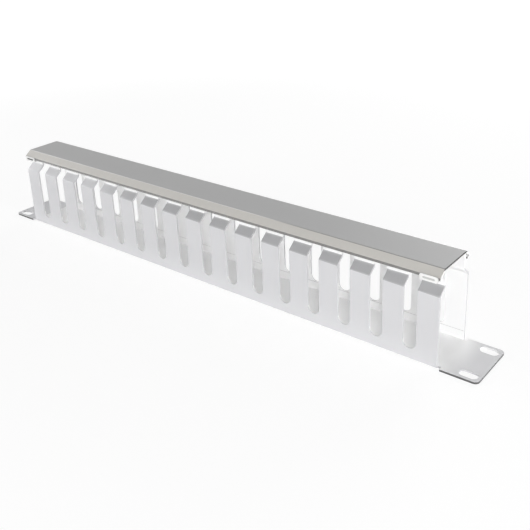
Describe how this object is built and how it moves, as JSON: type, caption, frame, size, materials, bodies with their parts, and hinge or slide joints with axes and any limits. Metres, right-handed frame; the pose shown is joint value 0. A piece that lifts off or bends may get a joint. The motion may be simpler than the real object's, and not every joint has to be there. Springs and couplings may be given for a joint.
{
  "type": "horizontal cable manager",
  "caption": "Rack cable duct, one unit high, folded from sheet metal, with slotted finger walls, slotted mounting ears and a cover that lifts off.",
  "frame": {"origin": "the middle of the underside, on the back of the mounting plate", "axes": "+X along the rack's width, +Y up the rack's height, +Z out of the rack's front, from the mounting plate to the cover"},
  "size_m": [0.4826, 0.044, 0.0705],
  "materials": {
    "body_paint": "satin",
    "cover_paint": "satin",
    "clip_plastic": "matte"
  },
  "bodies": {
    "duct": {"duct_body": "body_paint"},
    "cover": {"cover": "cover_paint", "clip_front_left": "clip_plastic", "clip_front_right": "clip_plastic", "clip_rear_left": "clip_plastic", "clip_rear_right": "clip_plastic"}
  },
  "joints": [
    {"name": "cover_lift", "type": "slide", "parent": "duct", "child": "cover", "axis": [0, 0, 1], "range_m": [0, 0.08]}
  ]
}
